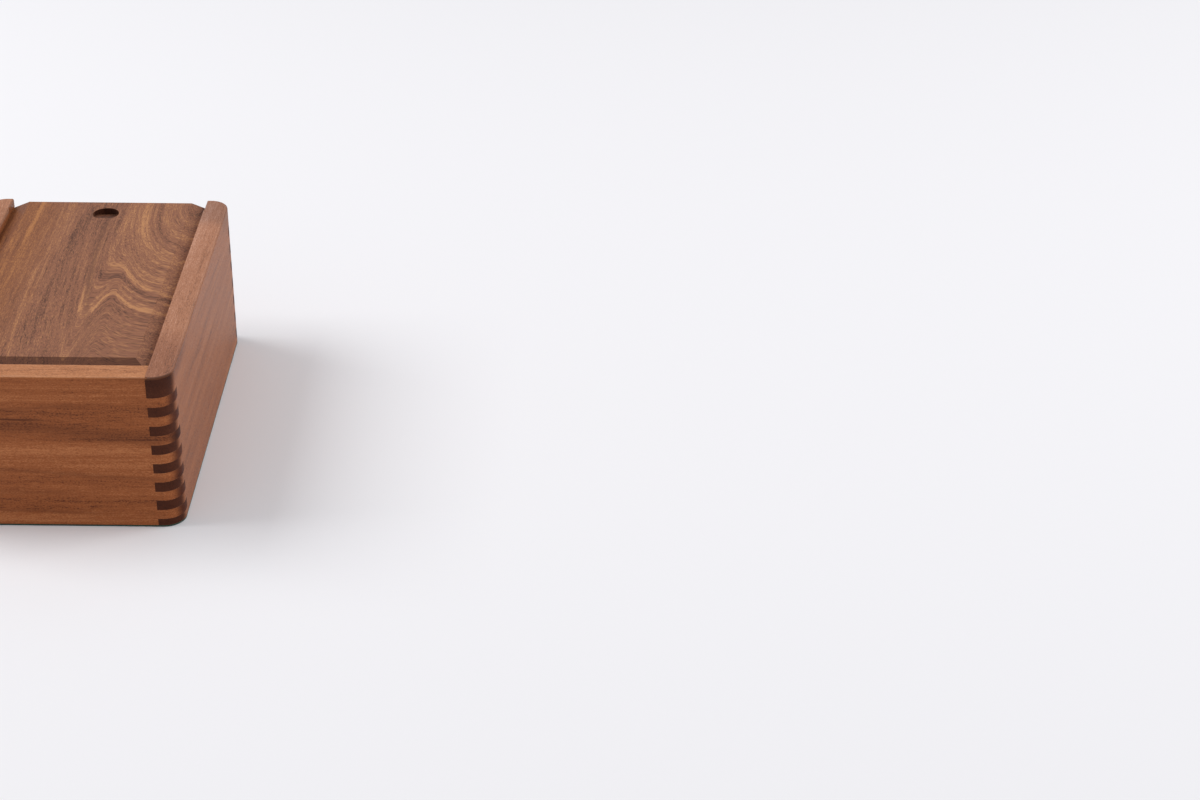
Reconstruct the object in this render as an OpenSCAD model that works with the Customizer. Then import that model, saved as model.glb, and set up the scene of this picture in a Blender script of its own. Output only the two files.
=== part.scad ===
// Wooden box for chess pieces, with a lid that slides off.
// Four solid walls meet in finger joints. The raised lid runs in a groove round its front and
// sides, and slides out over the rear wall, which stops just under it.
// Millimetres, +Z up, +Y towards the end that opens. The origin is on the surface that the
// box stands on, under its middle.

/* [Box] */
// Outer width, across the lid
box_w = 158.8; // [120:0.2:220]
// Outer length, the way that the lid slides
box_l = 244.4; // [160:0.2:320]
// Height of the wooden walls, without the felt under them
wood_h = 100.6; // [70:0.2:140]
// Thickness of the four walls
wall_t = 15; // [12:0.5:18]
// Radius of the four upright outer corners
corner_r = 12; // [3:0.5:12]

/* [Finger joints] */
// Height of one finger, and of the socket above it
finger_h = 6.35; // [4:0.05:12]

/* [Lid] */
// Thickness of the lid at its raised field
lid_t = 10.8; // [9.5:0.1:14]
// How far the raised field lies below the tops of the walls
lid_below = 2.5; // [1:0.1:5]
// Thickness of the flat tongue along the lid's front and sides
tongue_t = 6.5; // [4:0.1:8]
// Width of the slope between the tongue and the field, along each side
side_bevel = 10.4; // [5:0.1:20]
// Width of the slope between the tongue and the field, at the front
front_bevel = 14; // [5:0.1:20]
// Depth of the groove in the walls that the tongue runs in
groove_depth = 5; // [3:0.1:7]
// Gap above the tongue, and under the lid
lid_play = 0.25; // [0.15:0.05:0.6]
// Gap between the edge of the tongue and the bottom of its groove
edge_play = 0.5; // [0.2:0.1:1]

/* [Thumb notch] */
// Diameter of the notch, which is round seen from above
notch_d = 17; // [12:0.5:24]
// Depth of the notch at its rear, where the thumb pushes
notch_depth = 4.5; // [2:0.1:6]
// Share of the diameter over which its floor rises to the lid's surface
notch_rise = 0.9; // [0.7:0.05:0.95]
// Wood left between the notch and the end of the lid
notch_land = 9; // [4:0.5:20]

/* [Inside] */
// Thickness of the bottom board
floor_t = 6; // [4:0.5:9]
// Depth of the rebate in the walls that the bottom board fits
rebate_depth = 5; // [3:0.5:8]
// Gap round the edge of the bottom board, for the wood to move
floor_gap = 0.3; // [0.1:0.1:0.8]
// Thickness of the divider across the middle
divider_t = 6; // [4:0.5:10]
// Depth of the housings in the side walls that hold the divider
housing_depth = 4; // [2:0.5:7]
// Gap round the divider in its housings
divider_gap = 0.2; // [0.1:0.05:0.4]
// Space between the top of the divider and the lid
divider_drop = 4; // [2:0.5:20]

/* [Felt] */
// Thickness of the felt under the box
felt_t = 1; // [0.6:0.1:2]
// Thickness of the felt on the floor of each compartment
lining_t = 1.2; // [0.6:0.1:2.5]
// Gap round each floor lining
lining_gap = 0.5; // [0.3:0.1:1.5]

/* [Hidden] */

$fn = 64;
front = -1;
rear = 1;
left = -1;
right = 1;
reach = 1;                                      // how far a cut runs past the face it opens

inner_w = box_w - 2 * wall_t;
inner_l = box_l - 2 * wall_t;

wall_top_z = felt_t + wood_h;
field_z = wall_top_z - lid_below;               // the lid's raised field
lid_under_z = field_z - lid_t;
tongue_top_z = lid_under_z + tongue_t;
groove_floor_z = lid_under_z - lid_play;        // also the top of the rear wall
groove_top_z = tongue_top_z + lid_play;
lid_half_w = inner_w / 2 + groove_depth - edge_play;
lid_front_y = -inner_l / 2 - groove_depth + edge_play;
lid_rear_y = box_l / 2;

floor_top_z = felt_t + floor_t;
divider_top_z = lid_under_z - divider_drop;

joint_h = groove_floor_z - felt_t;              // the fingers fill this height
smallest_finger = 0.3;                          // a lowest finger under this share of finger_h
finger_count = ceil(joint_h / finger_h - smallest_finger); // joins the one above it

wood_dark = [0.33, 0.19, 0.12];
wood_front = [0.52, 0.29, 0.17];
wood_side = [0.50, 0.30, 0.22];
wood_lid = [0.40, 0.26, 0.20];
felt_green = [0.05, 0.23, 0.15];

// A block of the given plan size, centred on the origin in plan, between two heights
module slab(w, l, bottom_z, top_z) {
    translate([-w / 2, -l / 2, bottom_z]) cube([w, l, top_z - bottom_z]);
}

// The outline of the box seen from above
module plan() {
    square([box_w - 2 * corner_r, box_l], center = true);
    square([box_w, box_l - 2 * corner_r], center = true);
    for (x = [left, right], y = [front, rear])
        translate([x * (box_w / 2 - corner_r), y * (box_l / 2 - corner_r)]) circle(corner_r);
}

module plan_block(bottom_z, top_z) {
    translate([0, 0, bottom_z]) linear_extrude(top_z - bottom_z) plan();
}

// The end walls' fingers, counted down from the lid groove. They run the full width, so the same
// shape makes the fingers of an end wall and cuts their sockets in the side walls. Every second
// finger is left out, and the side walls fill its place. The lowest one runs to the wood's foot.
module finger_bars(end) {
    for (i = [0 : 2 : finger_count - 1]) {
        top_z = groove_floor_z - i * finger_h;
        bottom_z = i == finger_count - 1 ? felt_t : top_z - finger_h;
        translate([0, end * (box_l - wall_t) / 2, 0]) slab(box_w, wall_t, bottom_z, top_z);
    }
}

// Room for the tongue: open at the rear, and stopped at the front, where it lies behind the
// front wall's face and doesn't show
module lid_groove() {
    groove_front_y = -inner_l / 2 - groove_depth;
    translate([-inner_w / 2 - groove_depth, groove_front_y, groove_floor_z])
        cube([inner_w + 2 * groove_depth, box_l / 2 + reach - groove_front_y,
              groove_top_z - groove_floor_z]);
}

module floor_rebate() {
    slab(inner_w + 2 * rebate_depth, inner_l + 2 * rebate_depth, felt_t - reach, floor_top_z);
}

module divider_housing() {
    slab(inner_w + 2 * housing_depth, divider_t + 2 * divider_gap,
         felt_t, divider_top_z + divider_gap);
}

// A wall across the box, between the side walls up to top_z, with fingers through their ends
module end_wall(end, top_z) {
    difference() {
        intersection() {
            plan_block(felt_t, wall_top_z);
            union() {
                translate([0, end * (box_l - wall_t) / 2, 0]) slab(inner_w, wall_t, felt_t, top_z);
                finger_bars(end);
            }
        }
        lid_groove();
        floor_rebate();
    }
}

// A long wall, full height, with a tall top finger at each end that carries the lid groove
module side_wall(side) {
    difference() {
        intersection() {
            plan_block(felt_t, wall_top_z);
            translate([side * (box_w - wall_t) / 2, 0, 0]) slab(wall_t, box_l, felt_t, wall_top_z);
        }
        finger_bars(front);
        finger_bars(rear);
        lid_groove();
        floor_rebate();
        divider_housing();
    }
}

module front_wall() color(wood_front) end_wall(front, wall_top_z);

module rear_wall() color(wood_front) end_wall(rear, groove_floor_z);

module left_wall() color(wood_side) side_wall(left);

module right_wall() color(wood_side) side_wall(right);

module bottom_board() {
    edge = rebate_depth - floor_gap;
    color(wood_dark) slab(inner_w + 2 * edge, inner_l + 2 * edge, felt_t, floor_top_z);
}

module divider() {
    color(wood_side)
        slab(inner_w + 2 * (housing_depth - divider_gap), divider_t, floor_top_z, divider_top_z);
}

// Felt on the floor of one compartment, between the divider and an end wall
module lining(end) {
    lining_l = (inner_l - divider_t) / 2 - 2 * lining_gap;
    color(felt_green)
        translate([0, end * (inner_l + divider_t) / 4, 0])
            slab(inner_w - 2 * lining_gap, lining_l, floor_top_z, floor_top_z + lining_t);
}

module lining_front() lining(front);

module lining_rear() lining(rear);

module base_felt() color(felt_green) plan_block(0, felt_t);

// The lid's section across the box, run the whole length of the lid
module lid_across() {
    translate([0, lid_rear_y, 0]) rotate([90, 0, 0]) linear_extrude(lid_rear_y - lid_front_y)
        polygon([[-lid_half_w, lid_under_z], [lid_half_w, lid_under_z],
                 [lid_half_w, tongue_top_z], [inner_w / 2, tongue_top_z],
                 [inner_w / 2 - side_bevel, field_z], [side_bevel - inner_w / 2, field_z],
                 [-inner_w / 2, tongue_top_z], [-lid_half_w, tongue_top_z]]);
}

// The lid's section along the box, run the whole width of the lid. Where it crosses the other
// one, their slopes meet in a mitre at the front corners of the field.
module lid_along() {
    translate([-lid_half_w, 0, 0]) rotate([90, 0, 90]) linear_extrude(2 * lid_half_w)
        polygon([[lid_front_y, lid_under_z], [lid_rear_y, lid_under_z], [lid_rear_y, field_z],
                 [front_bevel - inner_l / 2, field_z], [-inner_l / 2, tongue_top_z],
                 [lid_front_y, tongue_top_z]]);
}

// A round scoop with a steep rear side that the thumb pushes on, and a floor that rises to the
// lid's surface just short of its front
module thumb_notch() {
    floor_l = notch_rise * notch_d;
    translate([0, lid_rear_y - notch_land, field_z]) intersection() {
        translate([0, -notch_d / 2, -notch_depth])
            linear_extrude(notch_depth + reach) circle(notch_d / 2);
        // above the sloping floor
        translate([notch_d, 0, 0]) rotate([90, 0, -90]) linear_extrude(2 * notch_d)
            polygon([[0, -notch_depth], [0, reach], [floor_l, reach], [floor_l, 0]]);
    }
}

module sliding_lid() {
    color(wood_lid) difference() {
        intersection() {
            lid_across();
            lid_along();
        }
        thumb_notch();
    }
}

front_wall();
rear_wall();
left_wall();
right_wall();
bottom_board();
divider();
lining_front();
lining_rear();
base_felt();
sliding_lid();
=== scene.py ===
# %% [markdown]
# # A box for chess pieces, with a lid that slides off
#
# The box is four thick boards that meet in finger joints, with a raised lid that runs in a groove.
# Its solid shape was made in CAD, and this script dresses that shape for a picture: it eases the
# sharp edges as a maker's sandpaper does, lays felt under and inside the box, and makes the wood.
#
# Everything is in metres. X runs across the box, Y along it towards the end that opens, and Z up.

# %% The solid model
import math

import bmesh
import bpy
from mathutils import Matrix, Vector, noise
from mathutils.bvhtree import BVHTree


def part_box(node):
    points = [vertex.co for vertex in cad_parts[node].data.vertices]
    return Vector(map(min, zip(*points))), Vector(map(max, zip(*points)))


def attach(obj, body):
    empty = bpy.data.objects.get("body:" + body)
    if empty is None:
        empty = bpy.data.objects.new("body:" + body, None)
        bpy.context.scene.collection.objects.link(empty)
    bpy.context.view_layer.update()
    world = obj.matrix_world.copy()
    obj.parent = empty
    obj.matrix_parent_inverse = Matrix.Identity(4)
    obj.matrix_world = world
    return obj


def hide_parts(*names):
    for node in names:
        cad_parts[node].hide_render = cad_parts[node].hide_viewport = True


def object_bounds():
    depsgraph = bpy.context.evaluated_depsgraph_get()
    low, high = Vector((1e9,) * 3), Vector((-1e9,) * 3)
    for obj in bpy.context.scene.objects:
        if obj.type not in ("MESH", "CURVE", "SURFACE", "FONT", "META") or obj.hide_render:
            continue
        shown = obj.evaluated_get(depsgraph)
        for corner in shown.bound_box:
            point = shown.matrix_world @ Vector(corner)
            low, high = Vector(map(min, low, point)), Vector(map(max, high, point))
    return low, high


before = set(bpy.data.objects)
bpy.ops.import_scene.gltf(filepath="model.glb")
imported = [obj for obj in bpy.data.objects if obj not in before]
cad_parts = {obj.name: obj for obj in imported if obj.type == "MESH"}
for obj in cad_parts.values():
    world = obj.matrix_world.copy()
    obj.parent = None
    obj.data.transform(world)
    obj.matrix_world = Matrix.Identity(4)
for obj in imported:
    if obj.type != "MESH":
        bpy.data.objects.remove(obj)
cad_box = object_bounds()
MM = 0.001
print("solid pieces:", ", ".join(sorted(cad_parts)))

# %% [markdown]
# ## The camera
#
# The photograph looks down on the box from the front and right, through a long lens. The camera's
# place was worked out from the straight edges in the photograph. It could be aimed by eye instead,
# but a measured camera lets the picture be laid over the photograph, to compare every edge.

# %% Camera
lens = bpy.data.cameras.new("long_lens")
lens.lens = 71.225
lens.sensor_width = 36.0
camera = bpy.data.objects.new("camera", lens)
camera.location = (0.32565, -1.31734, 0.76693)
camera.rotation_euler = (1.05542, -0.00907, 0.00405)
bpy.context.collection.objects.link(camera)
bpy.context.scene.camera = camera
print("camera stands", round(camera.location.length, 2), "m from the box")

# %% [markdown]
# ## The floor and the light
#
# The box stands on white card. The photograph's shadows are short and soft on every side, and its
# light comes from the left and right rather than from the front. That is what two big soft boxes
# give, one on each side and above, in a room with white walls. One lamp over the camera would be
# simpler, but it would flatten the raised lid. Two lamps that far away also light the card evenly.

# %% Floor
FLOOR_HALF_WIDTH = 8.0
PAPER = (0.87, 0.865, 0.885, 1.0)
shape = bmesh.new()
bmesh.ops.create_grid(shape, x_segments=1, y_segments=1, size=FLOOR_HALF_WIDTH)
card = bpy.data.meshes.new("white_card")
shape.to_mesh(card)
shape.free()
paper = bpy.data.materials.new("white_card")
paper.use_nodes = True
paper.node_tree.nodes["Principled BSDF"].inputs["Base Color"].default_value = PAPER
paper.node_tree.nodes["Principled BSDF"].inputs["Roughness"].default_value = 0.9
card.materials.append(paper)
floor = bpy.data.objects.new("floor", card)
floor.location.z = -0.0001
bpy.context.collection.objects.link(floor)
print("floor", 2 * FLOOR_HALF_WIDTH, "m wide")

# %% Lights
MIDDLE_OF_VIEW = Vector((0.33, 0.1, 0.0))
SOFT_BOX_WIDTH = 1.7


def soft_box(name, place, watts):
    """Hangs a square area light that faces the middle of the view."""
    data = bpy.data.lights.new(name, "AREA")
    data.size = SOFT_BOX_WIDTH
    data.energy = watts
    lamp = bpy.data.objects.new(name, data)
    lamp.location = MIDDLE_OF_VIEW + Vector(place)
    lamp.rotation_euler = (-Vector(place)).to_track_quat("-Z", "Y").to_euler()
    bpy.context.collection.objects.link(lamp)


soft_box("left_soft_box", (-2.1, 0.2, 2.0), 43.5)
soft_box("right_soft_box", (2.1, 0.2, 2.0), 38.0)
studio = bpy.data.worlds.new("white_room")
studio.use_nodes = True
walls_light = studio.node_tree.nodes["Background"]
walls_light.inputs["Color"].default_value = (0.97, 0.97, 1.0, 1.0)
walls_light.inputs["Strength"].default_value = 0.455
bpy.context.scene.world = studio
bpy.context.scene.view_settings.view_transform = "Standard"

# %% [markdown]
# ## Laying shader nodes
#
# Every finish here is made of nodes. A few small helpers keep that readable: they add a node and
# fill its sockets, do a sum, blend two colours or make a cloud of noise. The last two start a group
# and place it, so that an effect that several boards share is built once, and used in each with
# its own values. Nodes could also be laid by hand in the editor, but a script can be read through.

# %% Helpers for nodes
def lay(tree, kind, sockets=None, **settings):
    """Adds a node, and fills its sockets with values or with other nodes' outputs."""
    node = tree.nodes.new(kind)
    for name, value in settings.items():
        setattr(node, name, value)
    for key, value in (sockets or {}).items():
        if isinstance(value, bpy.types.NodeSocket):
            tree.links.new(value, node.inputs[key])
        else:
            node.inputs[key].default_value = value
    return node


def calc(tree, operation, *terms):
    """Does a sum on one or two numbers or outputs."""
    return lay(tree, "ShaderNodeMath", dict(enumerate(terms)), operation=operation).outputs[0]


def ramp(tree, value, low, high, to_low=0.0, to_high=1.0):
    """Goes smoothly from one number to another while value goes from low to high."""
    return lay(tree, "ShaderNodeMapRange",
               {"Value": value, "From Min": low, "From Max": high, "To Min": to_low,
                "To Max": to_high}, interpolation_type="SMOOTHSTEP").outputs["Result"]


def blend_colour(tree, share, colour_a, colour_b, mode="MIX"):
    """Lays a share of the second colour over the first."""
    node = lay(tree, "ShaderNodeMix", {0: share, 6: colour_a, 7: colour_b},
               data_type="RGBA", blend_type=mode, clamp_factor=True)
    return node.outputs[2]


def scaled(tree, vector, x, y, z):
    return lay(tree, "ShaderNodeVectorMath", {0: vector, 1: (x, y, z)},
               operation="MULTIPLY").outputs[0]


def shrunk(tree, vector, size):
    """Makes one unit of the vector as long as the size, which is in millimetres on each axis."""
    return scaled(tree, vector, *(1 / length for length in size))


def cloud(tree, vector, size=None, detail=2.0, roughness=0.5):
    """Noise from 0 to 1. size is its lumps' size in millimetres, or else they are 1 unit big."""
    if size:
        vector = shrunk(tree, vector, size)
    return lay(tree, "ShaderNodeTexNoise",
               {"Vector": vector, "Scale": 1.0, "Detail": detail,
                "Roughness": roughness}).outputs["Fac"]


KINDS = {float: "NodeSocketFloat", tuple: "NodeSocketColor", list: "NodeSocketVector"}


def start_group(name, inputs, outputs):
    """Starts a node group. inputs is {label: default}, where a list is a vector and a tuple a
    colour. outputs is {label: kind}."""
    group = bpy.data.node_groups.new(name, "ShaderNodeTree")
    for label, default in inputs.items():
        socket = group.interface.new_socket(label, in_out="INPUT", socket_type=KINDS[type(default)])
        socket.default_value = default
    for label, kind in outputs.items():
        group.interface.new_socket(label, in_out="OUTPUT", socket_type=KINDS[kind])
    return group, group.nodes.new("NodeGroupInput").outputs, group.nodes.new("NodeGroupOutput")


def place_group(tree, group, sockets):
    return lay(tree, "ShaderNodeGroup", sockets, node_tree=group).outputs


print("sockets a group can have:", ", ".join(sorted(KINDS.values())))


# %% [markdown]
# ## The wood's growth layers
#
# A tree grows in layers round its pith. A board is cut through them, so its figure is where the
# layers meet its surface: lines along the fibres on the long faces, and arcs on the ends. The group
# below turns a point of the board into a point among the layers: how far it is from the pith, how
# far along the fibres, and how far round. A flat picture of wood could be wrapped round the box,
# but it would break at every corner. A solid pattern runs on over the edges, as real wood does.

# %% Growth layers
WANDER = ((45.0, 150.0, 45.0), 1.5, 4.0)        # size of the bends, their detail, how far they move
RIPPLE = ((7.0, 22.0, 7.0), 2.0, 0.4)


def make_growth_layers():
    """Turns a place in millimetres into: away from the pith, along the fibres, and round it."""
    group, given, out = start_group("growth_layers", {"Position": [0.0, 0.0, 0.0]}, {"Layer": list})
    place = given["Position"]
    moved = place
    for size, detail, amount in (WANDER, RIPPLE):
        bends = lay(group, "ShaderNodeTexNoise", {"Vector": shrunk(group, place, size),
                                                  "Scale": 1.0, "Detail": detail}).outputs["Color"]
        centred = lay(group, "ShaderNodeVectorMath", {0: bends, 1: (0.5, 0.5, 0.5)},
                      operation="SUBTRACT").outputs[0]
        shift = lay(group, "ShaderNodeVectorMath", {0: centred, "Scale": amount},
                    operation="SCALE").outputs[0]
        moved = lay(group, "ShaderNodeVectorMath", {0: moved, 1: shift}, operation="ADD").outputs[0]
    parts = lay(group, "ShaderNodeSeparateXYZ", {0: moved}).outputs
    across, deep = parts["X"], parts["Z"]
    radius = calc(group, "SQRT", calc(group, "ADD", calc(group, "MULTIPLY", across, across),
                                      calc(group, "MULTIPLY", deep, deep)))
    turned = calc(group, "MULTIPLY", calc(group, "ARCTAN2", deep, across), radius)
    layer = lay(group, "ShaderNodeCombineXYZ", {"X": radius, "Y": parts["Y"], "Z": turned})
    group.links.new(layer.outputs[0], out.inputs["Layer"])
    return group


growth_layers = make_growth_layers()
print("group:", growth_layers.name)

# %% [markdown]
# ## A swell in the layers
#
# Where the trunk swelled over a buried branch, its layers dive into the board at a slant. Cut there,
# they show as ovals round one point, long along the fibres, like the lines round a hill on a map.
# The lid has one such place at its rear right corner. The group bends the straight pattern into
# ovals near that point. Its push grows weaker further to the left, and it stops where the grain
# runs straight. A painted figure would be closer in one view, but it would end at the lid's edge.

# %% Swell
PUSH_ENDS = (55.0, 100.0)                       # millimetres to the left of the point


def make_swell():
    """Bends straight grain round a point, on the side where the board is broad."""
    group, given, out = start_group(
        "swell",
        {"Position": [0.0, 0.0, 0.0], "Centre": [0.0, 0.0, 0.0], "Stretch": 2.75,
         "Near": 30.0, "Far": 48.0, "Left Over": 0.3},
        {"Position": list})
    away = lay(group, "ShaderNodeVectorMath", {0: given["Centre"], 1: given["Position"]},
               operation="SUBTRACT").outputs[0]
    parts = lay(group, "ShaderNodeSeparateXYZ", {0: away}).outputs
    beside = parts["X"]
    along = calc(group, "DIVIDE", calc(group, "MAXIMUM", parts["Y"], 0.0), given["Stretch"])
    oval = calc(group, "SQRT", calc(group, "ADD", calc(group, "MULTIPLY", beside, beside),
                                    calc(group, "MULTIPLY", along, along)))
    push = calc(group, "SUBTRACT", oval, beside)
    push = calc(group, "MULTIPLY", push,
                ramp(group, beside, given["Near"], given["Far"], 1.0, given["Left Over"]))
    push = calc(group, "MULTIPLY", push, ramp(group, beside, *PUSH_ENDS, 1.0, 0.0))
    moved = lay(group, "ShaderNodeVectorMath", {
        0: given["Position"],
        1: lay(group, "ShaderNodeCombineXYZ", {"X": push}).outputs[0]}, operation="SUBTRACT")
    group.links.new(moved.outputs[0], out.inputs["Position"])
    return group


swell = make_swell()
print("group:", swell.name)

# %% [markdown]
# ## Streaks and patches
#
# Some boards have a streak that anyone would know them by, such as the dark band along the front.
# Chance would not put it there, so a streak is laid on purpose: a soft line along the fibres at a
# given place, which may slope and curve, has a beginning and an end, and is ragged like the grain.
# A patch is a broad soft oval in which the wood's colour is multiplied by a tint.

# %% Streak
FRAYING = (1.5, 14.0, 4.0)                      # millimetres: how big its ragged bits are


def make_streak():
    """A mask that is strongest along one line, and fades to its sides and ends."""
    group, given, out = start_group(
        "streak",
        {"Position": [0.0, 0.0, 0.0], "Across": 0.0, "Along": 0.0, "Slope": 0.0, "Curve": 0.0,
         "Half Width": 3.0, "Half Length": 60.0, "Ragged": 0.8, "Strength": 1.0},
        {"Mask": float})
    parts = lay(group, "ShaderNodeSeparateXYZ", {0: given["Position"]}).outputs
    along = calc(group, "SUBTRACT", parts["Y"], given["Along"])
    line = calc(group, "ADD", given["Across"], calc(group, "MULTIPLY", along, given["Slope"]))
    line = calc(group, "ADD", line, calc(group, "MULTIPLY", calc(
        group, "MULTIPLY", along, along), given["Curve"]))
    frayed = calc(group, "SUBTRACT", cloud(group, given["Position"], FRAYING, detail=3.0), 0.5)
    off = calc(group, "SUBTRACT", parts["X"], line)
    off = calc(group, "ADD", off, calc(group, "MULTIPLY", frayed, calc(
        group, "MULTIPLY", given["Ragged"], calc(group, "ADD", given["Half Width"], 2.0))))
    sideways = calc(group, "POWER", calc(group, "ABSOLUTE", calc(
        group, "DIVIDE", off, given["Half Width"])), 2.0)
    endways = calc(group, "POWER", calc(group, "ABSOLUTE", calc(
        group, "DIVIDE", along, given["Half Length"])), 4.0)
    mask = calc(group, "EXPONENT", calc(group, "MULTIPLY", calc(
        group, "ADD", sideways, endways), -1.0))
    group.links.new(calc(group, "MULTIPLY", mask, given["Strength"]), out.inputs["Mask"])
    return group


streak = make_streak()
print("group:", streak.name)

# %% Patch
PATCH_EDGE = (5.0, 30.0, 5.0)                   # millimetres: how big the lumps of its edge are


def make_patch():
    """A mask that fills an oval, and has a rough edge."""
    group, given, out = start_group(
        "patch",
        {"Position": [0.0, 0.0, 0.0], "Centre": [0.0, 0.0, 0.0], "Half Size": [20.0, 20.0, 1000.0]},
        {"Mask": float})
    away = lay(group, "ShaderNodeVectorMath", {0: given["Position"], 1: given["Centre"]},
               operation="SUBTRACT").outputs[0]
    shares = lay(group, "ShaderNodeVectorMath", {0: away, 1: given["Half Size"]},
                 operation="DIVIDE").outputs[0]
    parts = lay(group, "ShaderNodeSeparateXYZ", {0: shares}).outputs
    fall = calc(group, "ADD", *(calc(group, "POWER", calc(group, "ABSOLUTE", parts[axis]), 4.0)
                                for axis in "XY"))
    rough_edge = ramp(group, cloud(group, given["Position"], PATCH_EDGE), 0.2, 0.8, 0.6, 1.5)
    mask = calc(group, "EXPONENT", calc(group, "MULTIPLY", calc(
        group, "MULTIPLY", fall, rough_edge), -1.0))
    group.links.new(mask, out.inputs["Mask"])
    return group


patch = make_patch()
print("group:", patch.name)

# %% [markdown]
# ## Oiled wood
#
# Seen close, this wood is many things at once: broad bands of tone, finer streaks, silky fibres, a
# fine speckle of short dark pores where the vessels are cut open, and bright flecks where the fibres
# tip towards the light. Each is noise drawn out along the fibres at its own real size. The cut ends
# of the fibres drink more oil than the sides, so they are far darker.

# %% Oiled wood
PORE = (0.6, 3.2, 0.6)                          # millimetres of wood to each pore
SATIN = 0.45                                    # how rough the oiled surface is
END_GRAIN_TINT = (0.23, 0.16, 0.14, 1.0)        # what the cut ends keep of the wood's colour
GLUE_AND_SHADE_LINE = (0.02, 0.01, 0.006, 1.0)


def make_oiled_wood():
    """Turns a place among the growth layers into the wood's colour, roughness and relief."""
    group, given, out = start_group(
        "oiled_wood",
        {"Layer": [0.0, 0.0, 0.0], "End Grain": 0.0, "Dark": (0.1, 0.04, 0.02, 1.0),
         "Middle": (0.3, 0.12, 0.06, 1.0), "Light": (0.45, 0.2, 0.1, 1.0),
         "Band Width": 9.0, "Bands": 1.0, "Streaks": 1.0, "Fibres": 1.0, "Speckle": 1.0,
         "Speckle Length": 2.0, "Pores": 1.0, "Flecks": 0.3, "Extra Dark": 0.0, "Extra Light": 0.0,
         "Seam": 0.0, "Arris": 0.0},
        {"Color": tuple, "Roughness": float, "Height": float})
    layer = given["Layer"]
    parts = lay(group, "ShaderNodeSeparateXYZ", {0: layer}).outputs

    def grain(width, length, depth, detail=2.0, roughness=0.6):
        """Noise round 0, drawn out along the fibres. A size is in millimetres, or an input."""
        place = lay(group, "ShaderNodeCombineXYZ", {
            "X": calc(group, "DIVIDE", parts["X"], width),
            "Y": calc(group, "DIVIDE", parts["Y"], length),
            "Z": calc(group, "DIVIDE", parts["Z"], depth)}).outputs[0]
        noise_here = cloud(group, place, detail=detail, roughness=roughness)
        return calc(group, "SUBTRACT", noise_here, 0.5)

    def share_of(value, label, amount):
        return calc(group, "MULTIPLY", value, calc(group, "MULTIPLY", given[label], amount))

    bands = grain(given["Band Width"], 260.0, 90.0, 3.0)
    streaks = grain(1.9, 70.0, 5.0, 3.0)
    fibres = grain(0.55, 13.0, 0.8)
    speckle = grain(0.42, given["Speckle Length"], 0.42, 1.0)

    # the tone is 0 where the wood is dark, 0.5 where it is middling and 1 where it is light
    tone = 0.5
    for value, label, amount in ((bands, "Bands", 1.5), (streaks, "Streaks", 0.9),
                                 (fibres, "Fibres", 0.7), (speckle, "Speckle", 1.0)):
        tone = calc(group, "ADD", tone, share_of(value, label, amount))
    tone = calc(group, "ADD", tone, calc(group, "MULTIPLY", given["Extra Light"], 0.5))
    lower = blend_colour(group, ramp(group, tone, 0.0, 0.5), given["Dark"], given["Middle"])
    colour = blend_colour(group, ramp(group, tone, 0.5, 1.0), lower, given["Light"])

    # pores: short dashes in the wood, one to each cell of a stretched pattern
    pore_cells = lay(group, "ShaderNodeTexVoronoi",
                     {"Vector": shrunk(group, layer, PORE), "Scale": 1.0})
    pore = ramp(group, pore_cells.outputs["Distance"], 0.28, 0.10)
    pore = calc(group, "MULTIPLY", pore, given["Pores"])
    colour = blend_colour(group, calc(group, "MULTIPLY", pore, 0.45), colour, given["Dark"])

    # flecks: fibres that catch the light
    fleck = ramp(group, grain(0.42, 4.5, 0.7, 1.5, 0.5), 0.05, 0.22)
    fleck = calc(group, "MULTIPLY", fleck, given["Flecks"])
    colour = blend_colour(group, fleck, colour, given["Light"])

    colour = blend_colour(group, given["Extra Dark"], colour, given["Dark"])
    deep_end = blend_colour(group, 1.0, colour, END_GRAIN_TINT, "MULTIPLY")
    colour = blend_colour(group, given["End Grain"], colour, deep_end)
    # The rounded arris faces are made paler: partly sanded wood, partly a painted highlight.
    colour = blend_colour(group, calc(group, "MULTIPLY", given["Arris"], 0.18), colour,
                          given["Light"])
    # The hair seams between boards are darkened: partly glue, partly painted shade in the groove.
    colour = blend_colour(group, calc(group, "MULTIPLY", given["Seam"], 0.6), colour, GLUE_AND_SHADE_LINE)
    group.links.new(colour, out.inputs["Color"])

    rough = calc(group, "ADD", SATIN, calc(group, "MULTIPLY", fibres, 0.2))
    rough = calc(group, "ADD", rough, calc(group, "MULTIPLY", pore, 0.2))
    rough = calc(group, "ADD", rough, calc(group, "MULTIPLY", given["End Grain"], 0.15))
    group.links.new(rough, out.inputs["Roughness"])

    height = calc(group, "ADD", calc(group, "MULTIPLY", fibres, 0.35),
                  calc(group, "MULTIPLY", speckle, 0.3))
    group.links.new(calc(group, "SUBTRACT", height, pore), out.inputs["Height"])
    return group


oiled_wood = make_oiled_wood()
print("group:", oiled_wood.name)

# %% [markdown]
# ## One finish for each board
#
# The boards come from the same timber, but each has its own piece of the tree, its own fibre
# direction and its own streaks. The pattern is turned until its fibres lie along the board, and the
# pith is moved to where this board's figure asks for it. The walls' level faces, their narrow tops,
# are painted paler and greyer than the broad faces: a painted sheen, for the glare of the bright
# room.

# %% Board finish
OIL_SHINE = 0.15
RELIEF = 0.07 * MM                              # how deep the pores and fibres are
# The painted sheen on level faces begins at the first of these levels and is full at the second.
SHEEN_LEVELNESS = (0.35, 0.85)                            # how level a face is where it starts to be paler


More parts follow.
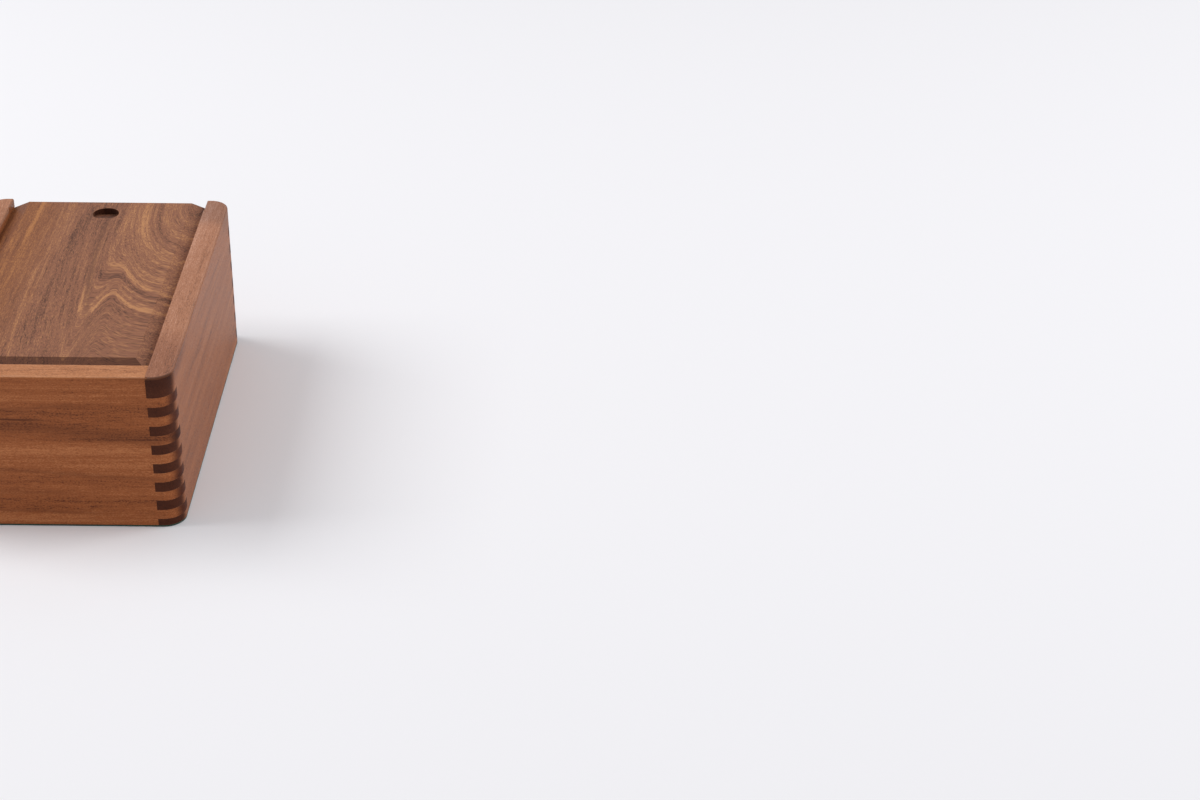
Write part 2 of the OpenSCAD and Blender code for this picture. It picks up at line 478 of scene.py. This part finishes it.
def board_finish(name, axes, pith, palette, swell_at=None, dark_streaks=(), light_streaks=(),
                 patches=(), edge_tint=None, end_cut=(0.1, 0.75), **wood):
    """Makes one board's material. axes are the box's axes that run across, along and through the
    board. All places are millimetres of the box in that order, and pith is where the box's origin
    lies in the tree, measured from its middle. end_cut is how squarely the fibres are cut where the
    end grain starts to show, and where it shows fully. The rest goes to the oiled wood."""
    finish = bpy.data.materials.new(name)
    finish.use_nodes = True
    tree = finish.node_tree
    shader = tree.nodes["Principled BSDF"]
    point = tree.nodes.new("ShaderNodeTexCoord").outputs
    in_mm = lay(tree, "ShaderNodeMapping", {"Vector": point["Object"], "Scale": (1000.0,) * 3})
    parts = lay(tree, "ShaderNodeSeparateXYZ", {0: in_mm.outputs[0]}).outputs
    spot = lay(tree, "ShaderNodeCombineXYZ",
               dict(zip("XYZ", (parts[axis] for axis in axes)))).outputs[0]
    bent = spot
    if swell_at:
        bent = place_group(tree, swell, {"Position": spot, "Centre": (*swell_at, 0.0)})["Position"]

    def add_up(streaks, where):
        """One mask for all the dark or all the light streaks of the board."""
        total = 0.0
        for across, along, slope, curve, half_width, half_length, strength in streaks:
            total = calc(tree, "ADD", total, place_group(tree, streak, {
                "Position": where, "Across": across, "Along": along, "Slope": slope,
                "Curve": curve, "Half Width": half_width, "Half Length": half_length,
                "Strength": strength})["Mask"])
        return total

    sawn = lay(tree, "ShaderNodeVectorMath", {0: bent, 1: pith}, operation="ADD").outputs[0]
    layers = place_group(tree, growth_layers, {"Position": sawn})
    facing = lay(tree, "ShaderNodeSeparateXYZ", {0: point["Normal"]}).outputs
    end_grain = ramp(tree, calc(tree, "ABSOLUTE", facing[axes[1]]), *end_cut)
    seam = lay(tree, "ShaderNodeAttribute", attribute_name="seam").outputs["Fac"]
    arris = lay(tree, "ShaderNodeAttribute", attribute_name="arris").outputs["Fac"]
    made = place_group(tree, oiled_wood, {
        "Layer": layers["Layer"], "End Grain": end_grain,
        **{label.title(): (*colour, 1.0) for label, colour in palette.items()},
        "Extra Dark": add_up(dark_streaks, spot), "Extra Light": add_up(light_streaks, bent),
        "Seam": seam, "Arris": arris,
        **{key.replace("_", " ").title(): value for key, value in wood.items()}})
    colour = made["Color"]
    for centre, half_size, tint in patches:
        mask = place_group(tree, patch, {"Position": spot, "Centre": (*centre, 0.0),
                                         "Half Size": (*half_size, 1000.0)})["Mask"]
        tinted = blend_colour(tree, 1.0, colour, (*tint, 1.0), "MULTIPLY")
        colour = blend_colour(tree, mask, colour, tinted)
    # Painted sheen: level faces are multiplied by a paler, greyer tint, for the glare of the bright
    # room on them.
    if edge_tint:
        sheen_share = ramp(tree, calc(tree, "ABSOLUTE", facing["Z"]), *SHEEN_LEVELNESS)
        tinted = blend_colour(tree, 1.0, colour, (*edge_tint, 1.0), "MULTIPLY")
        colour = blend_colour(tree, sheen_share, colour, tinted)
    tree.links.new(colour, shader.inputs["Base Color"])
    tree.links.new(made["Roughness"], shader.inputs["Roughness"])
    shader.inputs["Specular IOR Level"].default_value = OIL_SHINE
    relief = lay(tree, "ShaderNodeBump", {"Height": made["Height"], "Strength": 1.0,
                                          "Distance": RELIEF})
    tree.links.new(relief.outputs[0], shader.inputs["Normal"])
    return finish


# %% Finishes of the boards
# A streak is: across, along, slope, curve, half its width, half its length, strength.
# A patch is: its middle, half its size, and the colour that it multiplies the wood by.
WARM = dict(dark=(0.095, 0.024, 0.008), middle=(0.335, 0.098, 0.029), light=(0.510, 0.185, 0.068))
PINK = dict(dark=(0.095, 0.032, 0.014), middle=(0.305, 0.100, 0.036), light=(0.450, 0.180, 0.080))
# The lid's palette is greyer than the walls': partly its wood, partly a painted sheen from the
# bright room on its broad top.
GREY_WITH_SHEEN = dict(dark=(0.085, 0.036, 0.024), middle=(0.264, 0.111, 0.063), light=(0.480, 0.225, 0.100))
# Each set of walls has a tint for its level tops, which paints the sheen that they take from the
# bright room.
END_WALLS = dict(palette=WARM, edge_tint=(1.40, 1.95, 2.9), end_cut=(0.5, 0.95), bands=0.7,
                 streaks=0.6, speckle_length=1.2)
SIDE_WALLS = dict(palette=PINK, edge_tint=(1.30, 1.75, 2.7), end_cut=(0.05, 0.5), bands=0.6,
                  streaks=0.6, band_width=8.0)

front_finish = board_finish(
    "front_board", "ZXY", (90.0, 40.0, 160.0), band_width=8.0, **END_WALLS,
    dark_streaks=[(73.0, -12.0, -0.02, 0.0, 0.6, 14.0, 0.85),
                  (65.0, 20.0, -0.11, 0.0, 4.5, 120.0, 0.38),
                  (80.5, -5.0, 0.07, 0.0, 1.6, 40.0, 0.30),
                  (36.0, 20.0, -0.07, 0.0, 1.3, 70.0, 0.30),
                  (23.5, -15.0, -0.02, 0.0, 2.0, 35.0, 0.20),
                  (10.5, -10.0, -0.03, 0.0, 1.2, 45.0, 0.35)],
    light_streaks=[(48.0, 20.0, -0.03, 0.0, 9.0, 90.0, 0.25), (5.0, 0.0, 0.0, 0.0, 4.0, 90.0, 0.3)])
rear_finish = board_finish("rear_board", "ZXY", (20.0, 900.0, 150.0), band_width=9.0, **END_WALLS)
left_finish = board_finish("left_board", "ZYX", (300.0, 300.0, 60.0), **SIDE_WALLS)
right_finish = board_finish(
    "right_board", "ZYX", (160.0, -500.0, 30.0), **SIDE_WALLS,
    dark_streaks=[(88.0, 20.0, -0.06, 0.0, 1.2, 60.0, 0.30),
                  (79.0, 50.0, -0.04, 0.0, 1.0, 35.0, 0.30),
                  (70.0, -32.0, -0.10, 0.0, 1.2, 12.0, 0.35)],
    patches=[((101.0, 106.0), (10.0, 21.0), (0.74, 0.78, 0.86)),
             ((101.0, -102.0), (8.0, 32.0), (0.78, 0.74, 0.75))])
lid_finish = board_finish(
    "lid_board", "XYZ", (300.0, 0.0, -60.0), palette=GREY_WITH_SHEEN, swell_at=(58.0, 119.0),
    end_cut=(0.0, 0.44), band_width=7.0, bands=0.8, flecks=0.5, speckle_length=2.4,
    dark_streaks=[(4.0, 56.0, -0.035, 0.00083, 2.0, 95.0, 0.40)],
    light_streaks=[(-44.5, 70.0, 0.0, 0.0, 1.5, 70.0, 0.45), (23.0, 60.0, 0.0, 0.0, 4.0, 75.0, 0.45),
                   (11.5, 8.0, 0.0, 0.0, 0.7, 26.0, 0.8), (7.0, -14.0, 0.0, 0.0, 0.7, 16.0, 0.8),
                   (1.8, -18.0, 0.0, 0.0, 0.9, 20.0, 1.0)],
    patches=[((-64.0, 0.0), (36.0, 500.0), (0.84, 0.74, 0.60))])
divider_finish = board_finish("divider_board", "ZXY", (500.0, 0.0, 90.0), **END_WALLS)
bottom_finish = board_finish("bottom_board", "XYZ", (700.0, 0.0, 120.0), palette=WARM)
print("finishes:", [m.name for m in bpy.data.materials])

# %% [markdown]
# ## The boards
#
# A solid model has knife-sharp edges, and no real board has. A maker breaks each edge, or arris,
# with sandpaper, and the small round catches the light. Where two boards are glued, the edge stays
# sharp and only a hair line shows. The Bevel modifier could round every edge alike, but here the
# size has to differ, so each edge is first asked whether it lies on another board.

# %% Easing the edges
ARRIS_STEPS = 3
SEAM = 0.07 * MM
BOARDS = ("front_wall", "rear_wall", "left_wall", "right_wall", "bottom_board", "divider",
          "sliding_lid")


def surface_of(names):
    """One search tree over the solids of several boards."""
    points, faces = [], []
    for name in names:
        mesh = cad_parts[name].data
        start = len(points)
        points += [v.co.copy() for v in mesh.vertices]
        faces += [[start + i for i in p.vertices] for p in mesh.polygons]
    return BVHTree.FromPolygons(points, faces)


def is_edge(edge, least=math.radians(12)):
    """Facets of a round corner meet at less than this angle, and real edges at more."""
    return edge.is_manifold and edge.calc_face_angle() > least


def middle_of(edge):
    return (edge.verts[0].co + edge.verts[1].co) / 2


def round_over(shape, edges, size, steps, mark):
    """Rounds some edges, and marks the faces that this makes."""
    made = bmesh.ops.bevel(shape, geom=edges, offset=size, offset_type="OFFSET", segments=steps,
                           profile=0.5, affect="EDGES", material=-1, clamp_overlap=True)
    for face in made["faces"]:
        face[mark] = 1.0
    return len(made["faces"])


def ease_board(name, arris_at, cuts):
    """A copy of a board's solid with its edges eased. arris_at(point) gives the size of the round
    at a point, and cuts are the planes where a joint begins and ends."""
    shape = bmesh.new()
    shape.from_mesh(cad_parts[name].data)
    bmesh.ops.remove_doubles(shape, verts=shape.verts, dist=0.001 * MM)
    bmesh.ops.dissolve_limit(shape, angle_limit=math.radians(0.5), verts=shape.verts,
                             edges=shape.edges)
    for axis, place in cuts:
        flat = [0.0, 0.0, 0.0]
        flat["XYZ".index(axis)] = 1.0
        bmesh.ops.bisect_plane(shape, geom=shape.verts[:] + shape.edges[:] + shape.faces[:],
                               dist=0.001 * MM, plane_co=[place * c for c in flat], plane_no=flat)
    arris = shape.faces.layers.float.new("arris")
    seam = shape.faces.layers.float.new("seam")
    others = surface_of([n for n in BOARDS if n not in (name, "sliding_lid")])

    def glued(edge):
        return name != "sliding_lid" and others.find_nearest(middle_of(edge), 0.02 * MM)[0]

    sizes = {}
    for edge in shape.edges:
        if is_edge(edge) and not glued(edge):
            sizes.setdefault(arris_at(middle_of(edge)), []).append(edge)
    eased = 0
    for size in sorted(sizes, reverse=True):
        edges = [e for e in sizes[size] if e.is_valid]
        eased += round_over(shape, edges, size, ARRIS_STEPS, arris)
    seams = [e for e in shape.edges if is_edge(e) and glued(e)
             and not any(f[arris] for f in e.link_faces)]
    if seams:
        round_over(shape, seams, SEAM, 1, seam)
    for face in shape.faces:
        face.smooth = True
    for edge in shape.edges:
        edge.smooth = not is_edge(edge) or any(f[arris] for f in edge.link_faces)
    print(name, "faces", len(shape.faces), "eased", eased, "seams", len(seams), "open edges",
          sum(not e.is_manifold for e in shape.edges))
    return shape


def set_down(shape, name, body, finish, stands_for):
    """Makes a finished piece of a mesh, hangs it on the empty of the body that it rides on, and
    hides the solid that it takes the place of.
    """
    mesh = bpy.data.meshes.new(name)
    shape.to_mesh(mesh)
    shape.free()
    mesh.materials.append(finish)
    piece = bpy.data.objects.new(name, mesh)
    bpy.context.collection.objects.link(piece)
    even = piece.modifiers.new("even_shading", "WEIGHTED_NORMAL")
    even.keep_sharp = True
    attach(piece, body)
    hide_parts(stands_for)
    return piece


# %% Boards
INNER_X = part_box("right_wall")[0].x             # the walls' inner faces, where the joints begin
INNER_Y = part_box("rear_wall")[0].y
TOP = cad_box[1].z
ROUNDED = 1.5 * MM
BROKEN = 0.35 * MM
THIN_BOARD_ARRIS = 0.4 * MM


def wall_arris(point):
    """The outer edges of the tops are well rounded, and the other edges are just broken."""
    inside = abs(point.x) < INNER_X + MM and abs(point.y) < INNER_Y + MM
    if point.z > TOP - 0.1 * MM and not inside:
        return ROUNDED
    return BROKEN


def thin_arris(point):
    """The lid and the thin boards inside are eased alike everywhere."""
    return THIN_BOARD_ARRIS


walls = {
    "front_wall": ("wood_end_walls", front_finish, [("X", -INNER_X), ("X", INNER_X)]),
    "rear_wall": ("wood_end_walls", rear_finish, [("X", -INNER_X), ("X", INNER_X)]),
    "left_wall": ("wood_side_walls", left_finish, [("Y", -INNER_Y), ("Y", INNER_Y)]),
    "right_wall": ("wood_side_walls", right_finish, [("Y", -INNER_Y), ("Y", INNER_Y)]),
}
for name, (slot, finish, cuts) in walls.items():
    set_down(ease_board(name, wall_arris, cuts), name + "_board", "box", finish, name)
set_down(ease_board("bottom_board", thin_arris, []), "bottom_panel", "box",
         bottom_finish, "bottom_board")
set_down(ease_board("divider", thin_arris, []), "divider_board", "box",
         divider_finish, "divider")
set_down(ease_board("sliding_lid", thin_arris, []), "lid_board", "lid",
         lid_finish, "sliding_lid")

# %% [markdown]
# ## Felt
#
# A green felt is glued under the box, and its cut edge shows as a thin dark line. Softer felts lie
# on the floor of the two compartments. Felt is no weave: it is a mat of tangled fibres, so its
# surface is a fine cloud of tufts, and its cut edge is never quite straight. Hair particles would
# give true fibres, but at this size a pattern of tufts looks the same and costs nothing.

# %% Felt finish
TUFT = (0.5, 0.5, 0.5)                          # millimetres, as is the next size
SHADE = (14.0, 14.0, 14.0)


def felt_finish(name, deep, pale):
    """Makes a matt felt between two greens, with a soft sheen from its fibres."""
    finish = bpy.data.materials.new(name)
    finish.use_nodes = True
    tree = finish.node_tree
    shader = tree.nodes["Principled BSDF"]
    point = tree.nodes.new("ShaderNodeTexCoord").outputs["Object"]
    point = scaled(tree, point, 1000.0, 1000.0, 1000.0)
    tufts = cloud(tree, point, TUFT, detail=3.0, roughness=0.7)
    shades = cloud(tree, point, SHADE)
    tone = calc(tree, "ADD", calc(tree, "MULTIPLY", tufts, 0.75),
                calc(tree, "MULTIPLY", shades, 0.4))
    colour = blend_colour(tree, ramp(tree, tone, 0.3, 0.8), (*deep, 1.0), (*pale, 1.0))
    tree.links.new(colour, shader.inputs["Base Color"])
    shader.inputs["Roughness"].default_value = 0.95
    shader.inputs["Specular IOR Level"].default_value = 0.2
    shader.inputs["Sheen Weight"].default_value = 0.35
    shader.inputs["Sheen Roughness"].default_value = 0.6
    relief = lay(tree, "ShaderNodeBump", {"Height": tufts, "Strength": 0.8, "Distance": 0.35 * MM})
    tree.links.new(relief.outputs[0], shader.inputs["Normal"])
    return finish


base_finish = felt_finish("base_felt_green", (0.006, 0.030, 0.020), (0.016, 0.065, 0.042))
lining_finish = felt_finish("lining_felt_green", (0.008, 0.060, 0.034), (0.022, 0.125, 0.074))
print("felts:", base_finish.name, "and", lining_finish.name)

# %% Felt sheets
BASE_CORNER = 12 * MM                           # as the walls' upright corners
LINING_CORNER = 1.5 * MM
CUT_WAVER = 0.16 * MM                           # how far the scissors stray inwards
WAVES_PER_METRE = 160.0
SOFT_RIM = 0.28 * MM


def cut_felt(node, corner):
    """A sheet of felt in the place of a solid one, with round corners and a soft, uneven edge."""
    low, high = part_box(node)
    centre, width, length = (low + high) / 2, high.x - low.x, high.y - low.y
    shape = bmesh.new()
    bmesh.ops.create_grid(shape, x_segments=1, y_segments=1, size=0.5)
    bmesh.ops.scale(shape, vec=(width, length, 1.0), verts=shape.verts)
    bmesh.ops.bevel(shape, geom=shape.verts[:], offset=corner, offset_type="OFFSET", segments=16,
                    profile=0.5, affect="VERTICES", material=-1)
    straight = [e for e in shape.edges if e.calc_length() > 20 * MM]
    bmesh.ops.subdivide_edges(shape, edges=straight, cuts=60)
    bmesh.ops.translate(shape, vec=(centre.x, centre.y, low.z), verts=shape.verts)
    for vert in shape.verts:
        cut = CUT_WAVER * (0.5 + 0.5 * noise.noise(vert.co * WAVES_PER_METRE))
        inward = Vector((centre.x - vert.co.x, centre.y - vert.co.y, 0.0)).normalized()
        vert.co += inward * cut
    raised = bmesh.ops.extrude_face_region(shape, geom=shape.faces[:])
    tops = [v for v in raised["geom"] if isinstance(v, bmesh.types.BMVert)]
    bmesh.ops.translate(shape, vec=(0.0, 0.0, high.z - low.z), verts=tops)
    bmesh.ops.recalc_face_normals(shape, faces=shape.faces)
    rims = [e for e in shape.edges if e.calc_face_angle() > math.radians(60)
            and abs(e.verts[0].co.z - e.verts[1].co.z) < 0.01 * MM]
    bmesh.ops.bevel(shape, geom=rims, offset=SOFT_RIM, offset_type="OFFSET", segments=3,
                    profile=0.5, affect="EDGES", material=-1)
    for face in shape.faces:
        face.smooth = True
    return shape, width, length


shape, width, length = cut_felt("base_felt", BASE_CORNER)
base = set_down(shape, "base_felt_sheet", "box", base_finish, "base_felt")
for end in ("front", "rear"):
    shape, width, length = cut_felt("lining_" + end, LINING_CORNER)
    sheet = set_down(shape, f"lining_{end}_sheet", "box", lining_finish,
                     "lining_" + end)
    print(sheet.name, "cut to", round(width, 4), "x", round(length, 4), "m")
